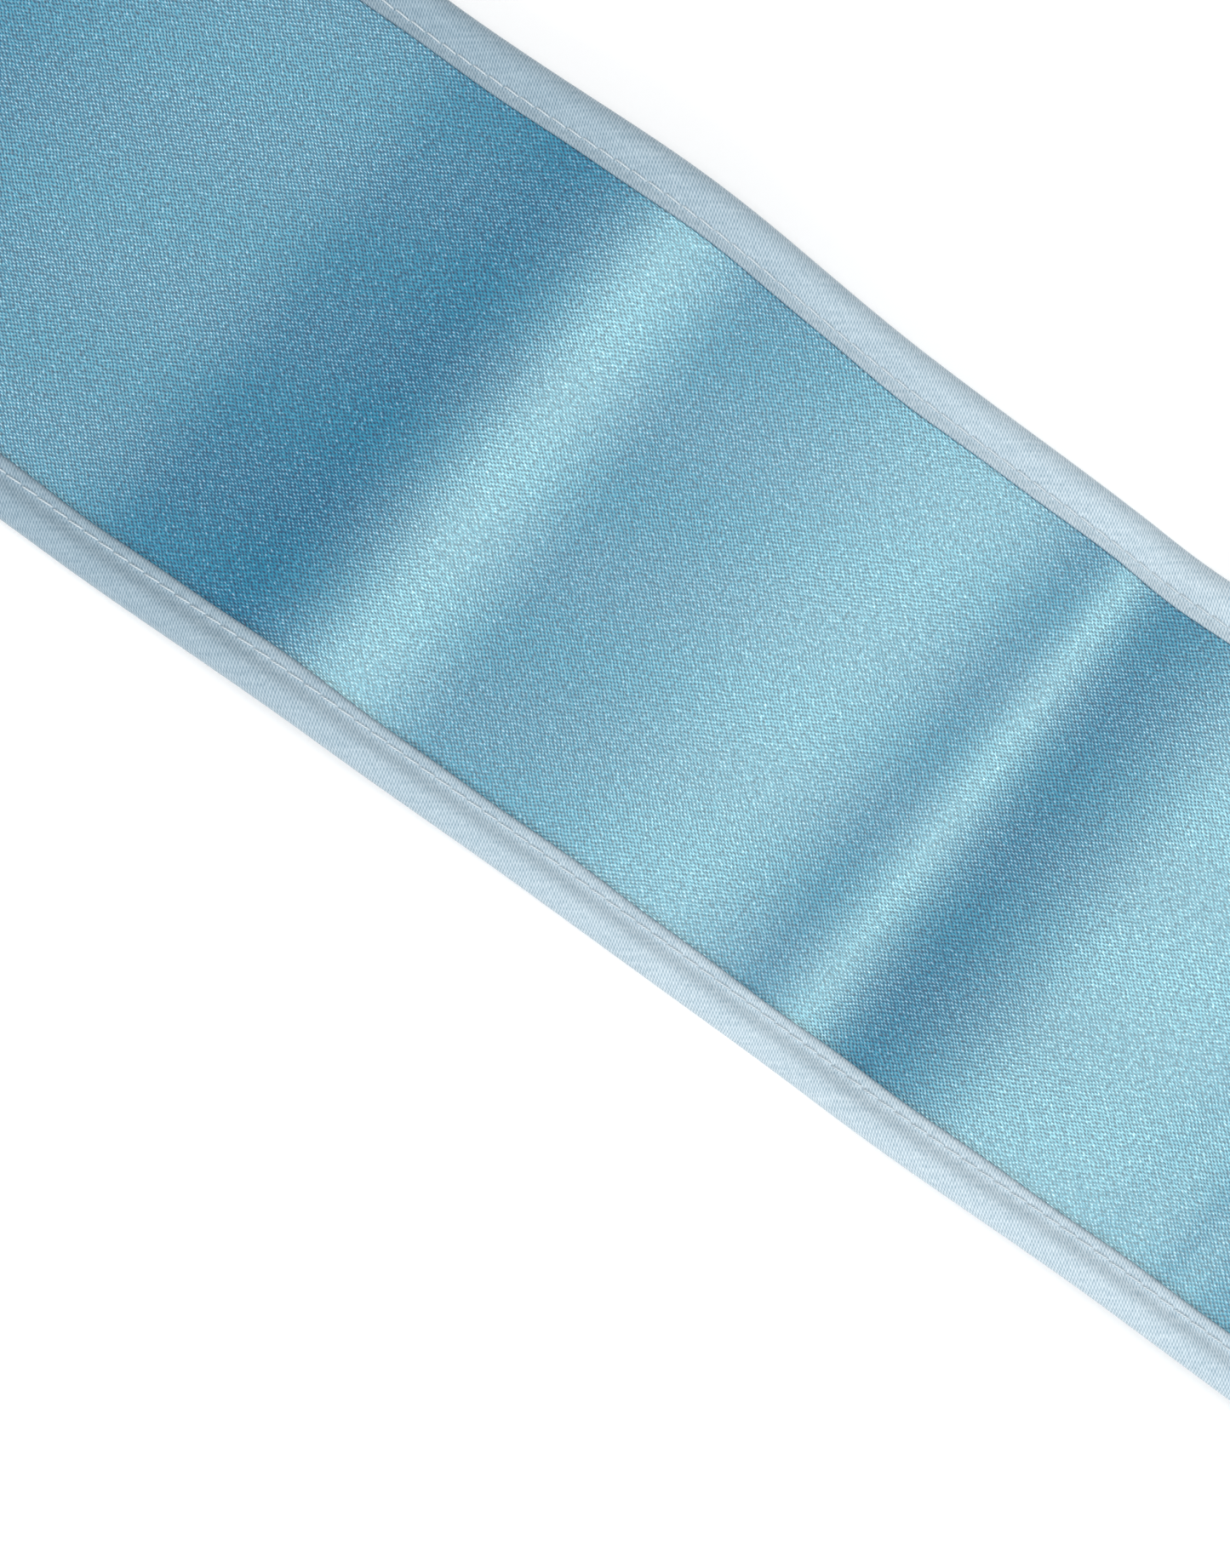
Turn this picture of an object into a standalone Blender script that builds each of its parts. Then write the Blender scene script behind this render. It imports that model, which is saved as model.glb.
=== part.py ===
"""A satin sash laid out on a table: one satin panel, bound on all four edges with a folded bias strip.

+X runs along the sash, +Y across it to the far edge, +Z up. The origin is under its middle, on the table.
Sizes in the tables are in millimetres, and everything that is placed is in metres.
"""

import math

import bmesh
import bpy

MM = 0.001

# The cut
SASH_LENGTH = 1200.0
SASH_WIDTH = 76.0
CLOTH_WALL = 1.0
SEAM_GAP = 0.3

# The binding, as it is folded over an edge: a round roll outside the stitch row, a flat lip inside it
LIP_REACH = 6.0
BACK_LIP_REACH = 5.9
SLOT_DEPTH = 3.2
ROLL_HEIGHT = 4.25
STITCH_GROOVE = 4.6
STACK_HEIGHT = 3 * CLOTH_WALL + 2 * SEAM_GAP

# The satin lies on the table, and climbs gently to the height of the slot in each binding
PANEL_INSET = SLOT_DEPTH + SEAM_GAP
SLOT_FLOOR = CLOTH_WALL + SEAM_GAP
CLIMB_STARTS = 30.0
CLIMB_ENDS = 6.5
PANEL_COLUMNS = (PANEL_INSET, CLIMB_ENDS, 12.5, 18.0, 24.0, CLIMB_STARTS)

# The folds, one row for each crest, flank and valley: place along the sash, height of the underside
# at the near and the far edge, and the slopes there in degrees
LIE = (
    # place, height near, height far, slope near, slope far
    (-600.0, 0.0, 0.0, 0.0, 0.0),  # left end, flat
    (-530.0, 0.0, 0.0, 0.0, 0.0),
    (-484.0, 7.6, 8.4, 0.0, 0.0),  # crest
    (-438.0, 0.0, 0.0, 0.0, 0.0),  # valley, flat for a short way
    (-420.0, 0.0, 0.0, 0.0, 0.0),
    (-372.0, 5.4, 4.6, 0.0, 0.0),  # crest
    (-322.0, 0.0, 0.0, 0.0, 0.0),  # valley
    (-272.0, 9.0, 8.2, 0.0, 0.0),  # crest
    (-222.0, 0.0, 0.0, 0.0, 0.0),  # valley, flat
    (-172.0, 0.0, 0.0, 0.0, 0.0),
    (-120.0, 4.2, 5.1, 0.0, 0.0),  # low crest
    (-72.0, 3.2, 4.1, 0.0, 0.0),  # shallow valley
    (-60.0, 3.8, 4.4, 7.0, 4.0),  # foot of the tall fold
    (-46.0, 6.0, 5.8, 12.0, 8.0),  # its rising flank
    (-34.0, 7.2, 7.0, -1.0, 1.0),  # its crest
    (-20.0, 5.5, 5.4, -11.5, -12.0),  # its long falling flank
    (0.0, 2.2, 2.1, -6.5, -6.0),
    (14.0, 1.3, 1.2, -1.5, -1.5),  # shelf
    (26.0, 0.4, 0.6, -7.5, -6.0),  # drop into the sharp valley
    (33.4, 0.0, 0.0, 3.0, 2.0),  # sharp valley
    (42.0, 1.6, 1.6, 16.0, 14.0),  # steep flank
    (56.0, 4.7, 4.4, 8.0, 7.5),  # flank eases
    (98.0, 7.8, 7.4, 0.0, 0.0),  # crest
    (136.0, 0.0, 0.0, 0.0, 0.0),  # valley, flat
    (160.0, 0.0, 0.0, 0.0, 0.0),
    (201.0, 8.6, 7.9, 0.0, 0.0),  # crest
    (243.0, 0.0, 0.0, 0.0, 0.0),  # valley
    (282.0, 4.2, 4.9, 0.0, 0.0),  # crest
    (322.0, 0.0, 0.0, 0.0, 0.0),  # valley, flat
    (338.0, 0.0, 0.0, 0.0, 0.0),
    (388.0, 9.8, 9.2, 0.0, 0.0),  # crest
    (438.0, 0.0, 0.0, 0.0, 0.0),  # valley
    (446.0, 0.0, 0.0, 0.0, 0.0),
    (490.0, 5.2, 6.0, 0.0, 0.0),  # crest
    (534.0, 0.0, 0.0, 0.0, 0.0),
    (600.0, 0.0, 0.0, 0.0, 0.0),  # right end, flat
)

# How far each long edge stands outside the straight cut
EDGE_DRIFT = (
    # place, near, far
    (-600.0, 0.0, 0.0),
    (-300.0, 0.6, 0.5),
    (-105.0, 1.9, -0.2),
    (-68.0, 1.5, -0.1),
    (-30.0, 0.4, 0.8),
    (0.0, 0.1, 0.1),
    (30.0, 0.0, 0.2),
    (42.0, 0.0, -0.2),
    (80.0, -1.0, 0.0),
    (350.0, 0.4, 1.9),
    (600.0, 0.0, 0.0),
)

# A section stands at every row above, and between rows wherever the cloth has turned or run this far
MOST_TURN = math.radians(8.0)
MOST_RUN = 26.0

SATIN_BLUE = (0.184, 0.392, 0.503, 1.0)
BINDING_BLUE = (0.49, 0.62, 0.72, 1.0)


def clear_scene():
    for thing in list(bpy.data.objects):
        bpy.data.objects.remove(thing, do_unlink=True)


def cloth_material(name, colour, roughness):
    material = bpy.data.materials.new(name)
    material.use_nodes = True
    shader = material.node_tree.nodes["Principled BSDF"]
    shader.inputs["Base Color"].default_value = colour
    shader.inputs["Roughness"].default_value = roughness
    shader.inputs["Metallic"].default_value = 0.0
    return material


def rows_around(table, place):
    """The two rows that a place lies between, and its share of the way from one to the other."""
    for before, after in zip(table, table[1:]):
        if place <= after[0]:
            break
    share = (place - before[0]) / (after[0] - before[0])
    return before, after, min(max(share, 0.0), 1.0)


def eased(share):
    return share * share * (3.0 - 2.0 * share)


def edge_of(place, side):
    """Distance of a long edge from the middle line: side is -1 for the near edge and +1 for the far one."""
    before, after, share = rows_around(EDGE_DRIFT, place)
    column = 1 if side < 0 else 2
    drift = before[column] + (after[column] - before[column]) * eased(share)
    return SASH_WIDTH / 2 + drift


def lie_of(place, across):
    """Height and slope of the cloth's underside, on a cubic through the rows of LIE."""
    before, after, share = rows_around(LIE, place)
    far_share = across / SASH_WIDTH + 0.5
    low, high = (row[1] + (row[2] - row[1]) * far_share for row in (before, after))
    leaves, arrives = (row[3] + (row[4] - row[3]) * far_share for row in (before, after))
    run = after[0] - before[0]
    leaves = math.tan(math.radians(leaves)) * run
    arrives = math.tan(math.radians(arrives)) * run
    rise = high - low
    cubic = leaves + arrives - 2.0 * rise
    square = 3.0 * rise - 2.0 * leaves - arrives
    height = low + share * (leaves + share * (square + share * cubic))
    slope = (leaves + share * (2.0 * square + 3.0 * share * cubic)) / run
    return height, slope


def laid(place, across, lift):
    """A point of the flat cloth, put where the laid sash has it. Lift is measured square to the cloth."""
    height, slope = lie_of(place, across)
    stretch = math.hypot(1.0, slope)
    return (
        (place - lift * slope / stretch) * MM,
        across * MM,
        (height + lift / stretch) * MM,
    )


def turn_between(before, after):
    """How far the cloth turns between two rows, by way of its steepest place there."""
    places = (before[0], (before[0] + after[0]) / 2, after[0])
    first, steepest, last = (math.atan(lie_of(place, 0.0)[1]) for place in places)
    return abs(steepest - first) + abs(last - steepest)


def long_sections():
    """Places of the sections along the sash, leaving the corners to the pieces that meet there."""
    places = []
    for before, after in zip(LIE, LIE[1:]):
        steps = max(
            math.ceil(turn_between(before, after) / MOST_TURN),
            math.ceil((after[0] - before[0]) / MOST_RUN),
        )
        places += [before[0] + (after[0] - before[0]) * step / steps for step in range(steps)]
    corner = SASH_LENGTH / 2 - CLIMB_STARTS
    return [-corner] + [place for place in places if abs(place) < corner - CLIMB_ENDS] + [corner]


def binding_profile():
    """The folded strip's section as (distance in from the outer edge, height), round the roll and into the slot."""
    lip_top = STACK_HEIGHT + 0.15
    return (
        (BACK_LIP_REACH, 0.0),
        (1.5, 0.0),
        (0.4, 0.6),
        (0.0, 1.9),
        (0.4, 3.2),
        (1.5, ROLL_HEIGHT - 0.15),
        (2.9, ROLL_HEIGHT),
        (STITCH_GROOVE, STACK_HEIGHT),
        (5.2, lip_top),
        (LIP_REACH, STACK_HEIGHT),
        (LIP_REACH, STACK_HEIGHT - CLOTH_WALL),
        (SLOT_DEPTH, STACK_HEIGHT - CLOTH_WALL),
        (SLOT_DEPTH, CLOTH_WALL),
        (BACK_LIP_REACH, CLOTH_WALL),
    )


def swept(name, profile, sections, put, material):
    """One solid: the closed profile is carried from section to section, and put gives each point its place."""
    mesh_maker = bmesh.new()
    number = mesh_maker.verts.layers.int.new("profile_point")
    ring = []
    for index, point in enumerate(profile):
        corner = mesh_maker.verts.new(put(sections[0], point))
        corner[number] = index
        ring.append(corner)
    start = mesh_maker.faces.new(ring)
    end = start
    for section in sections[1:]:
        extruded = bmesh.ops.extrude_face_region(mesh_maker, geom=[end])
        if end is not start:
            mesh_maker.faces.remove(end)
        end = next(part for part in extruded["geom"] if isinstance(part, bmesh.types.BMFace))
        for corner in end.verts:
            corner.co = put(section, profile[corner[number]])
    bmesh.ops.recalc_face_normals(mesh_maker, faces=mesh_maker.faces)
    mesh = bpy.data.meshes.new(name)
    mesh_maker.to_mesh(mesh)
    mesh_maker.free()
    mesh.shade_smooth()
    mesh.set_sharp_from_angle(angle=math.radians(50.0))
    mesh.materials.append(material)
    thing = bpy.data.objects.new(name, mesh)
    bpy.context.collection.objects.link(thing)
    return thing


def satin_panel(material):
    """The panel's section runs across its top from near to far, and back along its underside."""
    columns = [(-1, inset) for inset in PANEL_COLUMNS]
    columns += [(0, 0.0)]
    columns += [(1, inset) for inset in reversed(PANEL_COLUMNS)]
    profile = [(side, inset, CLOTH_WALL) for side, inset in columns]
    profile += [(side, inset, 0.0) for side, inset in reversed(columns)]

    def climb(inset):
        share = (CLIMB_STARTS - inset) / (CLIMB_STARTS - CLIMB_ENDS)
        return SLOT_FLOOR * eased(min(max(share, 0.0), 1.0))

    def put(place, point):
        side, inset, lift = point
        across = side * (edge_of(place, side) - inset)
        from_end = SASH_LENGTH / 2 - abs(place)
        rest = climb(from_end) if side == 0 else max(climb(inset), climb(from_end))
        return laid(place, across, rest + lift)

    ends = [SASH_LENGTH / 2 - inset for inset in PANEL_COLUMNS[:-1]]
    sections = [-place for place in ends] + long_sections() + list(reversed(ends))
    return swept("satin_panel", profile, sections, put, material)


def mitre_back(inset):
    """How far a binding stops short of the corner: its own inset, and half the seam gap square to the mitre."""
    return inset + SEAM_GAP / math.sqrt(2.0)


def long_binding(name, side, material):
    reach = SASH_LENGTH / 2
    sections = [-reach] + long_sections() + [reach]

    def put(place, point):
        inset, lift = point
        if abs(place) == reach:
            place = math.copysign(reach - mitre_back(inset), place)
        return laid(place, side * (edge_of(place, side) - inset), lift)

    return swept(name, binding_profile(), sections, put, material)


def end_binding(name, end, material):
    def put(side, point):
        inset, lift = point
        place = end * (SASH_LENGTH / 2 - inset)
        return laid(place, side * (edge_of(place, side) - mitre_back(inset)), lift)

    return swept(name, binding_profile(), (-1, 1), put, material)


def build():
    clear_scene()
    satin = cloth_material("satin", SATIN_BLUE, 0.35)
    bias = cloth_material("bias_strip", BINDING_BLUE, 0.75)
    satin_panel(satin)
    long_binding("binding_near", -1, bias)
    long_binding("binding_far", 1, bias)
    end_binding("binding_left_end", -1, bias)
    end_binding("binding_right_end", 1, bias)


build()
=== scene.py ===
"""The looks of a satin sash laid flat: satin panel, bias bindings and their stitch rows.

Metres, +X along the sash, +Y across it to the far edge, +Z up, and the table at height 0.
"""

import math

import bmesh
import bpy
import numpy as np
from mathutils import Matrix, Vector


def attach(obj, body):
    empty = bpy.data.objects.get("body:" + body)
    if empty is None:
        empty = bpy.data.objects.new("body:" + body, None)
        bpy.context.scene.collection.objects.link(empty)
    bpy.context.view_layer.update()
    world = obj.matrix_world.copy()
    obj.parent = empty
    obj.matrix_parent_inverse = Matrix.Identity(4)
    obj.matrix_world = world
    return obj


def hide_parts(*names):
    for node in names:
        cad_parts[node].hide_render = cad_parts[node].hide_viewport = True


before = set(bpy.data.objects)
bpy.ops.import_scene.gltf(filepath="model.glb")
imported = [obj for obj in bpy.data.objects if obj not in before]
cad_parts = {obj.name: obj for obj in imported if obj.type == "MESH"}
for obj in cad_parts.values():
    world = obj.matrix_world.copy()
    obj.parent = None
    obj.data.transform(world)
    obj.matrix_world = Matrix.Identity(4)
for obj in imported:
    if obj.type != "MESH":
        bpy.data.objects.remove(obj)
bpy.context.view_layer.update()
MM = 0.001


# The lie of the cloth. The sash is one strip of cloth laid on a table, so it buckles into broad arches
# with narrow valleys between them, each running straight across. Every piece is placed on this one lie.

SASH_LENGTH = 1200.0
SASH_WIDTH = 76.0
FOLD_ROWS = (
    # place, height near, height far, slope near, slope far
    (-600.0, 0.0, 0.0, 0.0, 0.0),  # left end, flat
    (-530.0, 0.0, 0.0, 0.0, 0.0),
    (-484.0, 7.6, 8.4, 0.0, 0.0),  # crest
    (-438.0, 0.0, 0.0, 0.0, 0.0),  # valley, flat for a short way
    (-420.0, 0.0, 0.0, 0.0, 0.0),
    (-372.0, 5.4, 4.6, 0.0, 0.0),  # crest
    (-322.0, 0.0, 0.0, 0.0, 0.0),  # valley
    (-272.0, 9.0, 8.2, 0.0, 0.0),  # crest
    (-222.0, 0.0, 0.0, 0.0, 0.0),  # valley, flat
    (-172.0, 0.0, 0.0, 0.0, 0.0),
    (-120.0, 4.2, 5.1, 0.0, 0.0),  # low crest
    (-72.0, 3.2, 4.1, 0.0, 0.0),  # shallow valley
    (-60.0, 3.8, 4.4, 7.0, 4.0),  # foot of the tall fold
    (-46.0, 6.0, 5.8, 12.0, 8.0),  # its rising flank
    (-34.0, 7.2, 7.0, -1.0, 1.0),  # its crest
    (-20.0, 5.5, 5.4, -11.5, -12.0),  # its long falling flank
    (0.0, 2.2, 2.1, -6.5, -6.0),
    (14.0, 1.3, 1.2, -1.5, -1.5),  # shelf
    (26.0, 0.4, 0.6, -7.5, -6.0),  # drop into the sharp valley
    (33.4, 0.0, 0.0, 3.0, 2.0),  # sharp valley
    (42.0, 1.6, 1.6, 16.0, 14.0),  # steep flank
    (56.0, 4.7, 4.4, 8.0, 7.5),  # flank eases
    (98.0, 7.8, 7.4, 0.0, 0.0),  # crest
    (136.0, 0.0, 0.0, 0.0, 0.0),  # valley, flat
    (160.0, 0.0, 0.0, 0.0, 0.0),
    (201.0, 8.6, 7.9, 0.0, 0.0),  # crest
    (243.0, 0.0, 0.0, 0.0, 0.0),  # valley
    (282.0, 4.2, 4.9, 0.0, 0.0),  # crest
    (322.0, 0.0, 0.0, 0.0, 0.0),  # valley, flat
    (338.0, 0.0, 0.0, 0.0, 0.0),
    (388.0, 9.8, 9.2, 0.0, 0.0),  # crest
    (438.0, 0.0, 0.0, 0.0, 0.0),  # valley
    (446.0, 0.0, 0.0, 0.0, 0.0),
    (490.0, 5.2, 6.0, 0.0, 0.0),  # crest
    (534.0, 0.0, 0.0, 0.0, 0.0),
    (600.0, 0.0, 0.0, 0.0, 0.0),  # right end, flat
)
EDGE_DRIFT = (
    # place, near, far
    (-600.0, 0.0, 0.0),
    (-300.0, 0.6, 0.5),
    (-105.0, 1.9, -0.2),
    (-68.0, 1.5, -0.1),
    (-30.0, 0.4, 0.8),
    (0.0, 0.1, 0.1),
    (30.0, 0.0, 0.2),
    (42.0, 0.0, -0.2),
    (80.0, -1.0, 0.0),
    (350.0, 0.4, 1.9),
    (600.0, 0.0, 0.0),
)


def rows_around(table, place):
    for before, after in zip(table, table[1:]):
        if place <= after[0]:
            break
    share = (place - before[0]) / (after[0] - before[0])
    return before, after, min(max(share, 0.0), 1.0)


def eased(share):
    return share * share * (3.0 - 2.0 * share)


def edge_of(place, side):
    before, after, share = rows_around(EDGE_DRIFT, place)
    column = 1 if side < 0 else 2
    drift = before[column] + (after[column] - before[column]) * eased(share)
    return SASH_WIDTH / 2 + drift


def lie_of(place, across):
    """Height and slope of the cloth's underside, on a cubic through the fold rows."""
    before, after, share = rows_around(FOLD_ROWS, place)
    far_share = across / SASH_WIDTH + 0.5
    low, high = (row[1] + (row[2] - row[1]) * far_share for row in (before, after))
    leaves, arrives = (row[3] + (row[4] - row[3]) * far_share for row in (before, after))
    run = after[0] - before[0]
    leaves = math.tan(math.radians(leaves)) * run
    arrives = math.tan(math.radians(arrives)) * run
    rise = high - low
    cubic = leaves + arrives - 2.0 * rise
    square = 3.0 * rise - 2.0 * leaves - arrives
    height = low + share * (leaves + share * (square + share * cubic))
    slope = (leaves + share * (2.0 * square + 3.0 * share * cubic)) / run
    return height, slope


def laid(place, across, lift):
    height, slope = lie_of(place, across)
    stretch = math.hypot(1.0, slope)
    return (
        (place - lift * slope / stretch) * MM,
        across * MM,
        (height + lift / stretch) * MM,
    )


# Length along the cloth itself, which is longer than the table it covers: weave and stitches keep to it
cloth_places = np.linspace(-SASH_LENGTH / 2, SASH_LENGTH / 2, 1201)
cloth_slopes = np.array([lie_of(place, 0.0)[1] for place in (cloth_places[1:] + cloth_places[:-1]) / 2])
cloth_lengths = np.concatenate([[0.0], np.cumsum(np.hypot(1.0, cloth_slopes) * np.diff(cloth_places))])
CLOTH_LENGTH = float(cloth_lengths[-1])


def length_at(place):
    return float(np.interp(place, cloth_places, cloth_lengths))


def place_at(length):
    return float(np.interp(length, cloth_lengths, cloth_places))


def sheet_of(name, columns, rows, put, material, flip=False, tube=False):
    """A cloth cut flat as a grid and then laid: put gives the place and the flat place of a column and row.

    A tube has its last row on its first, so the two are joined and its ends are closed.
    """
    cloth = bmesh.new()
    bmesh.ops.create_grid(
        cloth, x_segments=len(columns) - 1, y_segments=len(rows) - 1, size=1.0, calc_uvs=True
    )
    uv = cloth.loops.layers.uv.verify()
    flat = {}
    for point in cloth.verts:
        column = columns[round((point.co.x + 1.0) / 2.0 * (len(columns) - 1))]
        row = rows[round((point.co.y + 1.0) / 2.0 * (len(rows) - 1))]
        point.co, flat[point.index] = put(column, row)
    for face in cloth.faces:
        for loop in face.loops:
            loop[uv].uv = flat[loop.vert.index]
    if tube:
        bmesh.ops.remove_doubles(cloth, verts=cloth.verts, dist=0.001 * MM)
        open_ends = [edge for edge in cloth.edges if edge.is_boundary]
        bmesh.ops.holes_fill(cloth, edges=open_ends, sides=len(rows))
    if flip:
        bmesh.ops.reverse_faces(cloth, faces=cloth.faces)
    return finished(name, cloth, material)


def finished(name, cloth, material):
    """Turns a bmesh into a piece of the sash, with its material and its flat cut as the map called cloth."""
    mesh = bpy.data.meshes.new(name)
    cloth.to_mesh(mesh)
    cloth.free()
    mesh.shade_smooth()
    mesh.materials.append(material)
    mesh.uv_layers[0].name = "cloth"
    piece = bpy.data.objects.new(name, mesh)
    bpy.context.scene.collection.objects.link(piece)
    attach(piece, "root")
    return piece


def thickened(piece, thickness):
    """Gives a cloth its real thickness, grown inwards from its right side."""
    wall = piece.modifiers.new("cloth thickness", "SOLIDIFY")
    wall.thickness = thickness
    wall.offset = -1.0


# The satin panel. One layer of light blue satin, its long floats running along the sash, so that
# light slides over it in bands straight across. It climbs gently into the bindings on all four sides.

SATIN_THICKNESS = 0.5
SATIN_TOP = 1.0
PANEL_INSET = 3.5
SLOT_FLOOR = 1.3
CLIMB_STARTS = 30.0
CLIMB_ENDS = 6.5
SATIN_COLUMNS = 34
SATIN_STEP_SEEN = 0.8
SATIN_STEP_ELSEWHERE = 1.6
SEEN_FROM, SEEN_TO = -120.0, 120.0
CREASES = (
    # place, leans, from, to, height, half width: a soft mark over the cloth between two distances across
    (-548.0, 0.10, -30.0, 12.0, 0.06, 5.0),
    (-455.0, -0.15, -38.0, 4.0, -0.05, 4.0),
    (-398.0, 0.05, -6.0, 38.0, 0.07, 5.0),
    (-336.0, -0.08, -38.0, 20.0, -0.06, 4.5),
    (-243.0, 0.12, -20.0, 38.0, 0.05, 4.0),
    (-190.0, -0.05, -38.0, -2.0, 0.07, 5.5),
    (-140.0, 0.10, -10.0, 38.0, -0.05, 4.0),
    (78.4, 0.10, -39.0, -2.0, -0.035, 3.4),
    (85.6, 0.06, -39.0, -8.0, -0.045, 3.0),
    (148.0, -0.12, -38.0, 10.0, 0.06, 5.0),
    (222.0, 0.08, -12.0, 38.0, -0.05, 4.0),
    (262.0, 0.05, -38.0, 6.0, 0.05, 4.0),
    (330.0, -0.10, -38.0, 38.0, 0.06, 5.0),
    (412.0, 0.12, -4.0, 38.0, -0.06, 4.5),
    (468.0, -0.06, -38.0, 8.0, 0.05, 4.0),
    (556.0, 0.08, -20.0, 30.0, 0.06, 5.5),
)


def eased_share(low, value, high):
    return eased(min(max((value - low) / (high - low), 0.0), 1.0))


def crease_lift(place, across):
    """How far the fine creases raise or sink the satin, on top of the folds."""
    lift = 0.0
    for middle, leans, start, stop, height, half_width in CREASES:
        off = abs(place - middle - leans * across) / half_width
        if off < 1.0:
            fade = (stop - start) / 3.0
            along = eased_share(start - fade, across, start + fade) * eased_share(stop, across, stop - fade)
            lift += height * (1.0 - eased(off)) * along
    return lift


def places_along(start, stop, step_seen, step_elsewhere):
    """Places from start to stop, closer together in the stretch that the camera is near to."""
    marks = [start, SEEN_FROM, SEEN_TO, stop]
    places = []
    for low, high, step in zip(marks, marks[1:], (step_elsewhere, step_seen, step_elsewhere)):
        count = round((high - low) / step)
        places += [low + (high - low) * i / count for i in range(count)]
    return places + [stop]


def climb(inset):
    return SLOT_FLOOR * eased_share(CLIMB_STARTS, inset, CLIMB_ENDS)


def put_satin(place, share):
    near = PANEL_INSET - edge_of(place, -1)
    far = edge_of(place, 1) - PANEL_INSET
    across = near + (far - near) * share
    rest = max(climb(PANEL_INSET + min(across - near, far - across)), climb(SASH_LENGTH / 2 - abs(place)))
    lift = rest + SATIN_TOP + crease_lift(place, across)
    return laid(place, across, lift), (length_at(place) * MM, across * MM)


def math_node(nodes, links, operation, first, second, third=None):
    """A math node on sockets or plain numbers."""
    node = nodes.new("ShaderNodeMath")
    node.operation = operation
    for socket, value in zip(node.inputs, (first, second, third)):
        if value is None:
            continue
        if isinstance(value, (int, float)):
            socket.default_value = value
        else:
            links.new(value, socket)
    return node.outputs["Value"]


def noise_node(nodes, links, vector, scale, detail):
    """Noise on the flat cloth, with its scale in repeats for each metre along and across."""
    stretched = nodes.new("ShaderNodeMapping")
    stretched.inputs["Scale"].default_value = (*scale, 1.0)
    links.new(vector, stretched.inputs["Vector"])
    noise = nodes.new("ShaderNodeTexNoise")
    noise.inputs["Scale"].default_value = 1.0
    noise.inputs["Detail"].default_value = detail
    links.new(stretched.outputs["Vector"], noise.inputs["Vector"])
    return noise.outputs


def wave_node(nodes, links, vector, along, across):
    """A cosine over the flat cloth, with its repeats for each millimetre along and across."""
    dot = nodes.new("ShaderNodeVectorMath")
    dot.operation = "DOT_PRODUCT"
    links.new(vector, dot.inputs[0])
    dot.inputs[1].default_value = (2.0 * math.pi * along / MM, 2.0 * math.pi * across / MM, 0.0)
    return math_node(nodes, links, "COSINE", dot.outputs["Value"], None)


def wandering(nodes, links, vector, scale, reach):
    """The flat cloth with its yarns a little out of line, by up to about reach (along, across) in millimetres."""
    noise = noise_node(nodes, links, vector, scale, 2.0)
    moved = nodes.new("ShaderNodeVectorMath")
    moved.operation = "MULTIPLY_ADD"
    links.new(noise["Color"], moved.inputs[0])
    moved.inputs[1].default_value = (reach[0] * MM, reach[1] * MM, 0.0)
    links.new(vector, moved.inputs[2])
    return moved.outputs["Vector"]


def ramp_node(nodes, links, value, stops):
    """A colour ramp through (share, colour) stops."""
    ramp = nodes.new("ShaderNodeValToRGB")
    while len(ramp.color_ramp.elements) < len(stops):
        ramp.color_ramp.elements.new(0.5)
    for element, (share, colour) in zip(ramp.color_ramp.elements, stops):
        element.position = share
        element.color = (*colour, 1.0)
    links.new(value, ramp.inputs["Fac"])
    return ramp.outputs["Color"]


def cloth_shader(name):
    """A new material, with its shader, its nodes and links, and the flat place of each point of the cloth."""
    material = bpy.data.materials.new(name)
    material.use_nodes = True
    nodes, links = material.node_tree.nodes, material.node_tree.links
    flat = nodes.new("ShaderNodeUVMap")
    flat.uv_map = "cloth"
    return material, nodes["Principled BSDF"], nodes, links, flat.outputs["UV"]


def bumped(nodes, links, shader, height, strength, distance):
    bump = nodes.new("ShaderNodeBump")
    bump.inputs["Strength"].default_value = strength
    bump.inputs["Distance"].default_value = distance * MM
    links.new(height, bump.inputs["Height"])
    links.new(bump.outputs["Normal"], shader.inputs["Normal"])


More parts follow.
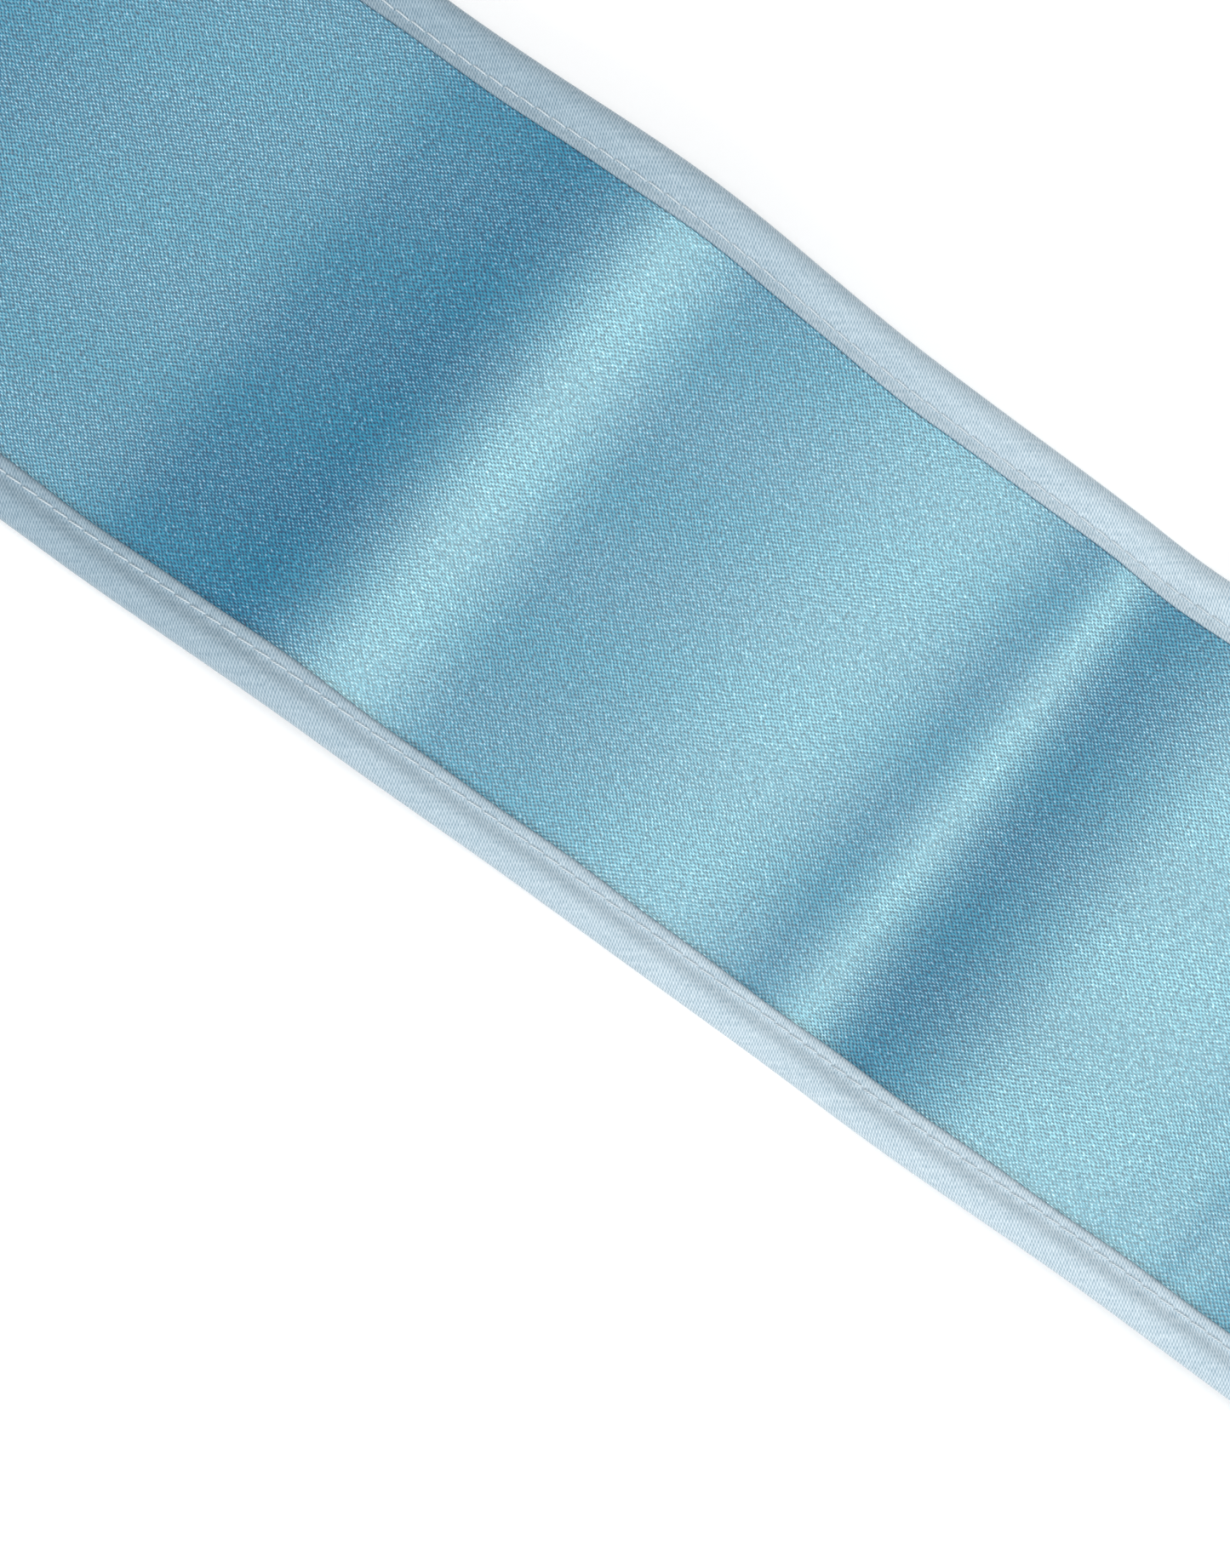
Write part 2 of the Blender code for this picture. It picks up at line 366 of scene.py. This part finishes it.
def satin_material():
    """Bright floats 0.7 mm long in rows 0.25 mm apart, each row stepped against the next."""
    material, shader, nodes, links, flat = cloth_shader("blue satin")
    shader.inputs["IOR"].default_value = 2.0
    shader.inputs["Specular IOR Level"].default_value = 0.56
    shader.inputs["Specular Tint"].default_value = (0.72, 1.0, 0.91, 1.0)
    shader.inputs["Anisotropic"].default_value = 0.55
    shader.inputs["Anisotropic Rotation"].default_value = 0.25
    shader.inputs["Sheen Weight"].default_value = 0.05
    tangent = nodes.new("ShaderNodeTangent")
    tangent.direction_type = "UV_MAP"
    tangent.uv_map = "cloth"
    links.new(tangent.outputs["Tangent"], shader.inputs["Tangent"])

    place = wandering(nodes, links, flat, (700.0, 700.0), (0.60, 0.35))
    rows = wave_node(nodes, links, place, 0.51, 3.93)
    steps_down = wave_node(nodes, links, place, -1.68, -1.89)
    steps_up = wave_node(nodes, links, place, 1.15, -1.99)
    floats = math_node(nodes, links, "MULTIPLY", rows, 0.40)
    floats = math_node(nodes, links, "MULTIPLY_ADD", steps_down, 0.33, floats)
    floats = math_node(nodes, links, "MULTIPLY_ADD", steps_up, 0.27, floats)
    grain = noise_node(nodes, links, flat, (2200.0, 2800.0), 1.0)["Fac"]
    clusters = noise_node(nodes, links, flat, (700.0, 1100.0), 1.0)["Fac"]
    shine = math_node(nodes, links, "MULTIPLY", floats, 1.6)
    shine = math_node(nodes, links, "MULTIPLY_ADD", steps_down, 0.30, shine)
    shine = math_node(nodes, links, "MULTIPLY_ADD", steps_up, 0.20, shine)
    shine = math_node(nodes, links, "MULTIPLY_ADD", grain, 4.6, shine)
    shine = math_node(nodes, links, "MULTIPLY_ADD", clusters, 1.2, shine)
    shown = nodes.new("ShaderNodeMapRange")
    shown.inputs["From Min"].default_value = 0.6
    shown.inputs["From Max"].default_value = 5.2
    links.new(shine, shown.inputs["Value"])
    shade = ramp_node(nodes, links, shown.outputs["Result"], (
        (0.0, (0.0, 0.010, 0.060)),
        (0.35, (0.0, 0.060, 0.165)),
        (0.74, (0.0, 0.225, 0.375)),
        (1.0, (0.340, 0.450, 0.600)),
    ))
    links.new(shade, shader.inputs["Base Color"])
    rough = nodes.new("ShaderNodeMapRange")
    rough.inputs["To Min"].default_value = 0.51
    rough.inputs["To Max"].default_value = 0.33
    links.new(shown.outputs["Result"], rough.inputs["Value"])
    links.new(rough.outputs["Result"], shader.inputs["Roughness"])
    bumped(nodes, links, shader, math_node(nodes, links, "MULTIPLY_ADD", grain, 0.4, floats), 0.5, 0.03)
    return material


satin_columns = places_along(
    PANEL_INSET - SASH_LENGTH / 2, SASH_LENGTH / 2 - PANEL_INSET, SATIN_STEP_SEEN, SATIN_STEP_ELSEWHERE
)
satin_rows = [i / SATIN_COLUMNS for i in range(SATIN_COLUMNS + 1)]
satin = sheet_of("satin_cloth", satin_columns, satin_rows, put_satin, satin_material())
thickened(satin, SATIN_THICKNESS * MM)
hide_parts("satin_panel")


# The bindings. A strip of pale ice-blue plain weave, cut on the bias, folded over each edge with both
# its raw edges turned under, and mitred where two strips meet at a corner. The stitches pucker it.

BINDING_THICKNESS = 0.2
LIP_REACH = 6.0
BACK_LIP_REACH = 5.9
STITCH_GROOVE = 4.6
GROOVE_TOP = 2.93
LIP_UNDERSIDE = 2.4
LIP_CREST = (5.65, 3.1)
TURNED_UNDER = 3.9
ROLL_MIDDLE = 2.4
ROLL_TOP = 3.85
ROLL_STEPS = 12
MITRE_GAP = 0.02
STITCH_PITCH = 2.2
PUCKER = 0.13
PUCKER_REACH = 0.8
BINDING_STEP_SEEN = STITCH_PITCH / 4
BINDING_STEP_ELSEWHERE = STITCH_PITCH / 2


def binding_section():
    """The strip's way round the edge, as (inset, lift): under the front lip, over the roll, to the back lip."""
    section = [(TURNED_UNDER, LIP_UNDERSIDE), (5.4, LIP_UNDERSIDE), (5.85, LIP_UNDERSIDE + 0.05)]
    section += [(LIP_REACH, LIP_UNDERSIDE + 0.35), (5.9, 2.98), LIP_CREST, (5.3, 3.07), (4.95, 2.98)]
    for step in range(5):
        share = step / 5
        inset = STITCH_GROOVE + (ROLL_MIDDLE - STITCH_GROOVE) * share
        section.append((inset, GROOVE_TOP + (ROLL_TOP - GROOVE_TOP) * eased(share)))
    for step in range(ROLL_STEPS + 1):
        angle = math.pi / 2 + math.pi * step / ROLL_STEPS
        section.append((ROLL_MIDDLE * (1.0 + math.cos(angle)), ROLL_TOP / 2 * (1.0 + math.sin(angle))))
    section += [(3.6, 0.0), (STITCH_GROOVE, 0.1), (5.4, 0.0), (BACK_LIP_REACH - 0.08, 0.06)]
    section += [(BACK_LIP_REACH, 0.3), (BACK_LIP_REACH - 0.2, 0.52), (TURNED_UNDER, 0.6)]
    return section


section = binding_section()
section_steps = [math.dist(before, after) for before, after in zip(section, section[1:])]
section_reach = [0.0] + [float(reach) for reach in np.cumsum(section_steps)]
FRONT_STITCH_REACH = section_reach[section.index((STITCH_GROOVE, GROOVE_TOP))]
LIP_CREST_REACH = section_reach[section.index(LIP_CREST)]
# Half width of the painted shade on each lip's crest, in millimetres
LIP_SHADE_HALF_WIDTH = 0.9
# Length of one wave of painted shade along the strip, in millimetres
PAINTED_SHADE_REPEAT = 330.0


def puckered(length, inset, lift):
    """Draws the strip down at each needle hole, and lets its lip wander a little."""
    if lift > LIP_UNDERSIDE + 0.2 and inset > ROLL_MIDDLE:
        off = (inset - STITCH_GROOVE) / PUCKER_REACH
        hold = math.exp(-off * off)
        lift -= PUCKER * hold * (0.5 + 0.5 * math.cos(2.0 * math.pi * length / STITCH_PITCH))
    lip = eased_share(STITCH_GROOVE, inset, LIP_REACH)
    wander = 0.09 * math.sin(length / 7.3) + 0.06 * math.sin(length / 3.1 + 1.0)
    return inset + lip * wander, lift


def mitre_back(inset):
    return inset + MITRE_GAP / math.sqrt(2.0)


def part_of(nodes, links, vector, axis):
    parts = nodes.new("ShaderNodeSeparateXYZ")
    links.new(vector, parts.inputs["Vector"])
    return parts.outputs[axis]


def near_to(nodes, links, reach, middle, half_width):
    """1 at the middle, falling to 0 at half a width to either side, in millimetres across the strip."""
    off = math_node(nodes, links, "SUBTRACT", reach, middle * MM)
    off = math_node(nodes, links, "ABSOLUTE", off, None)
    share = math_node(nodes, links, "MULTIPLY_ADD", off, -1.0 / (half_width * MM), 1.0)
    return math_node(nodes, links, "MAXIMUM", share, 0.0)


def binding_material():
    """Plain weave on the bias: dark gaps in steep rows, crossed by a few paler and darker yarns."""
    material, shader, nodes, links, flat = cloth_shader("ice blue bias strip")
    shader.inputs["Roughness"].default_value = 0.75
    shader.inputs["Specular IOR Level"].default_value = 0.25
    shader.inputs["Sheen Weight"].default_value = 0.25
    shader.inputs["Sheen Roughness"].default_value = 0.5
    place = wandering(nodes, links, flat, (180.0, 180.0), (0.25, 0.25))
    weft = wave_node(nodes, links, place, 2.85, 0.72)
    warp = wave_node(nodes, links, place, 1.60, 2.62)
    gaps = math_node(nodes, links, "MULTIPLY", weft, 0.62)
    gaps = math_node(nodes, links, "MULTIPLY_ADD", warp, 0.48, gaps)
    grain = noise_node(nodes, links, flat, (1900.0, 1900.0), 2.0)["Fac"]
    weave = math_node(nodes, links, "MULTIPLY_ADD", grain, 1.6, gaps)
    turned = nodes.new("ShaderNodeMapping")
    turned.inputs["Rotation"].default_value = (0.0, 0.0, math.radians(-38.0))
    links.new(flat, turned.inputs["Vector"])
    yarns = noise_node(nodes, links, turned.outputs["Vector"], (90.0, 2600.0), 1.0)["Fac"]
    weave = math_node(nodes, links, "MULTIPLY_ADD", yarns, 0.9, weave)
    patches = noise_node(nodes, links, flat, (160.0, 260.0), 2.0)["Fac"]
    weave = math_node(nodes, links, "MULTIPLY_ADD", patches, 0.5, weave)
    shown = nodes.new("ShaderNodeMapRange")
    shown.inputs["From Min"].default_value = 0.1
    shown.inputs["From Max"].default_value = 2.9
    links.new(weave, shown.inputs["Value"])
    shade = ramp_node(nodes, links, shown.outputs["Result"], (
        (0.0, (0.20, 0.31, 0.385)),
        (0.5, (0.440, 0.540, 0.610)),
        (1.0, (0.675, 0.765, 0.820)),
    ))

    # Painted shade: the strip darker and bluer in long waves for uneven light, dark needle holes, a darker lip
    # crest
    reach = math_node(nodes, links, "ABSOLUTE", part_of(nodes, links, flat, "Y"), None)
    # A painted shade that darkens the strip in long waves along it, standing in for light that falls unevenly
    painted_shade = wave_node(nodes, links, flat, 1.0 / PAINTED_SHADE_REPEAT, 0.0)
    painted_shade = ramp_node(nodes, links, math_node(nodes, links, "MULTIPLY_ADD", painted_shade, 0.5, 0.5), (
        (0.0, (0.51, 0.585, 0.63)),
        (1.0, (0.98, 0.98, 0.975)),
    ))
    with_painted_shade = nodes.new("ShaderNodeVectorMath")
    with_painted_shade.operation = "MULTIPLY"
    links.new(shade, with_painted_shade.inputs[0])
    links.new(painted_shade, with_painted_shade.inputs[1])
    # Each needle hole is painted dark, as the shade inside a hole
    needle = wave_node(nodes, links, flat, 1.0 / STITCH_PITCH, 0.0)
    needle = math_node(nodes, links, "MAXIMUM", math_node(nodes, links, "MULTIPLY_ADD", needle, 5.0, -4.0), 0.0)
    hole_shade = math_node(nodes, links, "MULTIPLY", needle, near_to(nodes, links, reach, FRONT_STITCH_REACH, 0.22))
    tone = math_node(nodes, links, "MULTIPLY_ADD", hole_shade, -0.30, 1.0)
    # A painted shade darkens the crest of each lip
    lip_shade = near_to(nodes, links, reach, LIP_CREST_REACH, LIP_SHADE_HALF_WIDTH)
    tone = math_node(nodes, links, "MULTIPLY_ADD", lip_shade, -0.15, tone)
    toned = nodes.new("ShaderNodeVectorMath")
    toned.operation = "SCALE"
    links.new(with_painted_shade.outputs["Vector"], toned.inputs[0])
    links.new(tone, toned.inputs["Scale"])
    links.new(toned.outputs["Vector"], shader.inputs["Base Color"])
    bumped(nodes, links, shader, weave, 0.4, 0.04)
    return material


binding_cloth = binding_material()
binding_columns = places_along(
    -SASH_LENGTH / 2, SASH_LENGTH / 2, BINDING_STEP_SEEN, BINDING_STEP_ELSEWHERE
)
CORNER = SASH_LENGTH / 2 - CLIMB_STARTS


def put_long_strip(place, row, side):
    length = length_at(place)
    inset, lift = puckered(length, *section[row])
    beyond = (abs(place) - CORNER) / (SASH_LENGTH / 2 - CORNER)
    if beyond > 0.0:
        place = math.copysign(CORNER + beyond * (SASH_LENGTH / 2 - mitre_back(inset) - CORNER), place)
    flat = (length * MM, side * section_reach[row] * MM)
    return laid(place, side * (edge_of(place, side) - inset), lift), flat


def put_end_strip(share, row, end):
    length = share * SASH_WIDTH / 2
    inset, lift = puckered(length, *section[row])
    place = end * (SASH_LENGTH / 2 - inset)
    flat = (length * MM, -end * section_reach[row] * MM)
    return laid(place, share * (edge_of(place, share) - mitre_back(inset)), lift), flat


strips = []
section_rows = list(range(len(section)))
for name, side in (("near", -1), ("far", 1)):
    strips.append(sheet_of(
        f"{name}_strip", binding_columns, section_rows,
        lambda place, row, side=side: put_long_strip(place, row, side), binding_cloth, flip=side < 0,
    ))
    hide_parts(f"binding_{name}")
end_shares = [i / 69 * 2.0 - 1.0 for i in range(70)]
for name, end in (("left_end", -1), ("right_end", 1)):
    strips.append(sheet_of(
        f"{name}_strip", end_shares, section_rows,
        lambda share, row, end=end: put_end_strip(share, row, end), binding_cloth, flip=end > 0,
    ))
    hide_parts(f"binding_{name}")
for strip in strips:
    thickened(strip, BINDING_THICKNESS * MM)


# The stitches. One row of lockstitch in pale thread holds each binding: the thread comes up at a needle
# hole, lies in the groove for most of a stitch, and goes down at the next hole. It shows on both faces.

THREAD_RADIUS = 0.12
THREAD_SIDES = 6
THREAD_LEAN = 0.07
STITCH_MARKS = (
    # share of a stitch, height of the thread's middle over the groove
    (0.0, -0.45),
    (0.07, -0.08),
    (0.2, 0.08),
    (0.5, 0.13),
    (0.8, 0.08),
    (0.93, -0.08),
)


def thread_material():
    material, shader, nodes, links, flat = cloth_shader("pale thread")
    shader.inputs["Roughness"].default_value = 0.5
    shader.inputs["Sheen Weight"].default_value = 0.2
    twist = wave_node(nodes, links, flat, 2.6, 2.2)
    shade = ramp_node(nodes, links, math_node(nodes, links, "MULTIPLY_ADD", twist, 0.5, 0.5), (
        (0.0, (0.40, 0.48, 0.53)),
        (1.0, (0.58, 0.65, 0.69)),
    ))
    links.new(shade, shader.inputs["Base Color"])
    bumped(nodes, links, shader, twist, 0.4, 0.03)
    return material


def put_thread(column, turn, put_groove, face):
    """A point of the thread: column is (length, share, height) and put_groove lays (length, inset, lift)."""
    length, share, height = column
    angle = 2.0 * math.pi * turn / THREAD_SIDES
    inset = STITCH_GROOVE + THREAD_LEAN * (2.0 * share - 1.0) + THREAD_RADIUS * math.cos(angle)
    height += THREAD_RADIUS * math.sin(angle)
    lift = GROOVE_TOP + height if face > 0 else 0.13 - min(height, 0.12)
    return put_groove(length, inset, lift), (length * MM, angle * THREAD_RADIUS * MM)


def thread_columns(start, stop):
    first, last = math.ceil(start / STITCH_PITCH), math.floor(stop / STITCH_PITCH)
    return [
        ((stitch + share) * STITCH_PITCH, share, height)
        for stitch in range(first, last)
        for share, height in STITCH_MARKS
    ]


thread = thread_material()
thread_turns = list(range(THREAD_SIDES + 1))
END_STITCHING = SASH_WIDTH / 2 - LIP_REACH
for side_name, side in (("near", -1), ("far", 1)):
    for face_name, face in (("front", 1), ("back", -1)):

        def lay_long(length, inset, lift, side=side):
            place = place_at(length)
            return laid(place, side * (edge_of(place, side) - inset), lift)

        sheet_of(
            f"{side_name}_{face_name}_stitches", thread_columns(LIP_REACH, CLOTH_LENGTH - LIP_REACH), thread_turns,
            lambda column, turn, lay=lay_long, face=face: put_thread(column, turn, lay, face),
            thread, flip=side * face < 0, tube=True,
        )
for end_name, end in (("left", -1), ("right", 1)):
    for face_name, face in (("front", 1), ("back", -1)):

        def lay_end(length, inset, lift, end=end):
            return laid(end * (SASH_LENGTH / 2 - inset), length, lift)

        sheet_of(
            f"{end_name}_end_{face_name}_stitches", thread_columns(-END_STITCHING, END_STITCHING), thread_turns,
            lambda column, turn, lay=lay_end, face=face: put_thread(column, turn, lay, face),
            thread, flip=end * face > 0, tube=True,
        )


# The table, the lamps and the camera. The sash lies on a plain pale table under soft studio light, seen
# from straight above with the sash running down to the right.

CAMERA_HEIGHT = 0.350
CAMERA_NEAR = -0.0223
SASH_TURN = math.radians(36.4)
SEEN_HEIGHT = 0.1805
TABLE_SIZE = 6.0
TABLE_DROP = 0.0002
LAMPS = (
    # name, place, size, watts
    ("overhead softbox", (0.03, 0.075, 1.2), (0.42, 0.7), 11.5),
    ("window at the near side", (0.30, -0.85, 0.75), (0.7, 0.5), 7.0),
)

table = bmesh.new()
bmesh.ops.create_grid(table, x_segments=1, y_segments=1, size=TABLE_SIZE / 2)
bmesh.ops.translate(table, verts=table.verts, vec=(0.0, 0.0, -TABLE_DROP))
table_mesh = bpy.data.meshes.new("table")
table.to_mesh(table_mesh)
table.free()
table_paint = bpy.data.materials.new("pale table")
table_paint.use_nodes = True
table_paint.node_tree.nodes["Principled BSDF"].inputs["Base Color"].default_value = (0.97, 0.97, 0.97, 1.0)
table_paint.node_tree.nodes["Principled BSDF"].inputs["Roughness"].default_value = 0.9
table_mesh.materials.append(table_paint)
table_piece = bpy.data.objects.new("table", table_mesh)
bpy.context.scene.collection.objects.link(table_piece)

for name, place, size, watts in LAMPS:
    light = bpy.data.lights.new(name, "AREA")
    light.shape = "RECTANGLE"
    light.size, light.size_y = size
    light.energy = watts
    lamp = bpy.data.objects.new(name, light)
    lamp.location = place
    lamp.rotation_euler = (-Vector(place)).to_track_quat("-Z", "Y").to_euler()
    bpy.context.scene.collection.objects.link(lamp)
studio = bpy.data.worlds.new("studio")
studio.use_nodes = True
studio.node_tree.nodes["Background"].inputs["Color"].default_value = (1.0, 1.0, 1.0, 1.0)
studio.node_tree.nodes["Background"].inputs["Strength"].default_value = 0.3
bpy.context.scene.world = studio
bpy.context.scene.view_settings.view_transform = "Standard"

camera_data = bpy.data.cameras.new("camera")
camera_data.sensor_width = 36.0
camera_data.lens = camera_data.sensor_width * CAMERA_HEIGHT / SEEN_HEIGHT
camera_data.clip_start = 0.01
camera = bpy.data.objects.new("camera", camera_data)
camera.location = (0.0, CAMERA_NEAR, CAMERA_HEIGHT)
camera.rotation_euler = (0.0, 0.0, SASH_TURN)
bpy.context.scene.collection.objects.link(camera)
bpy.context.scene.camera = camera
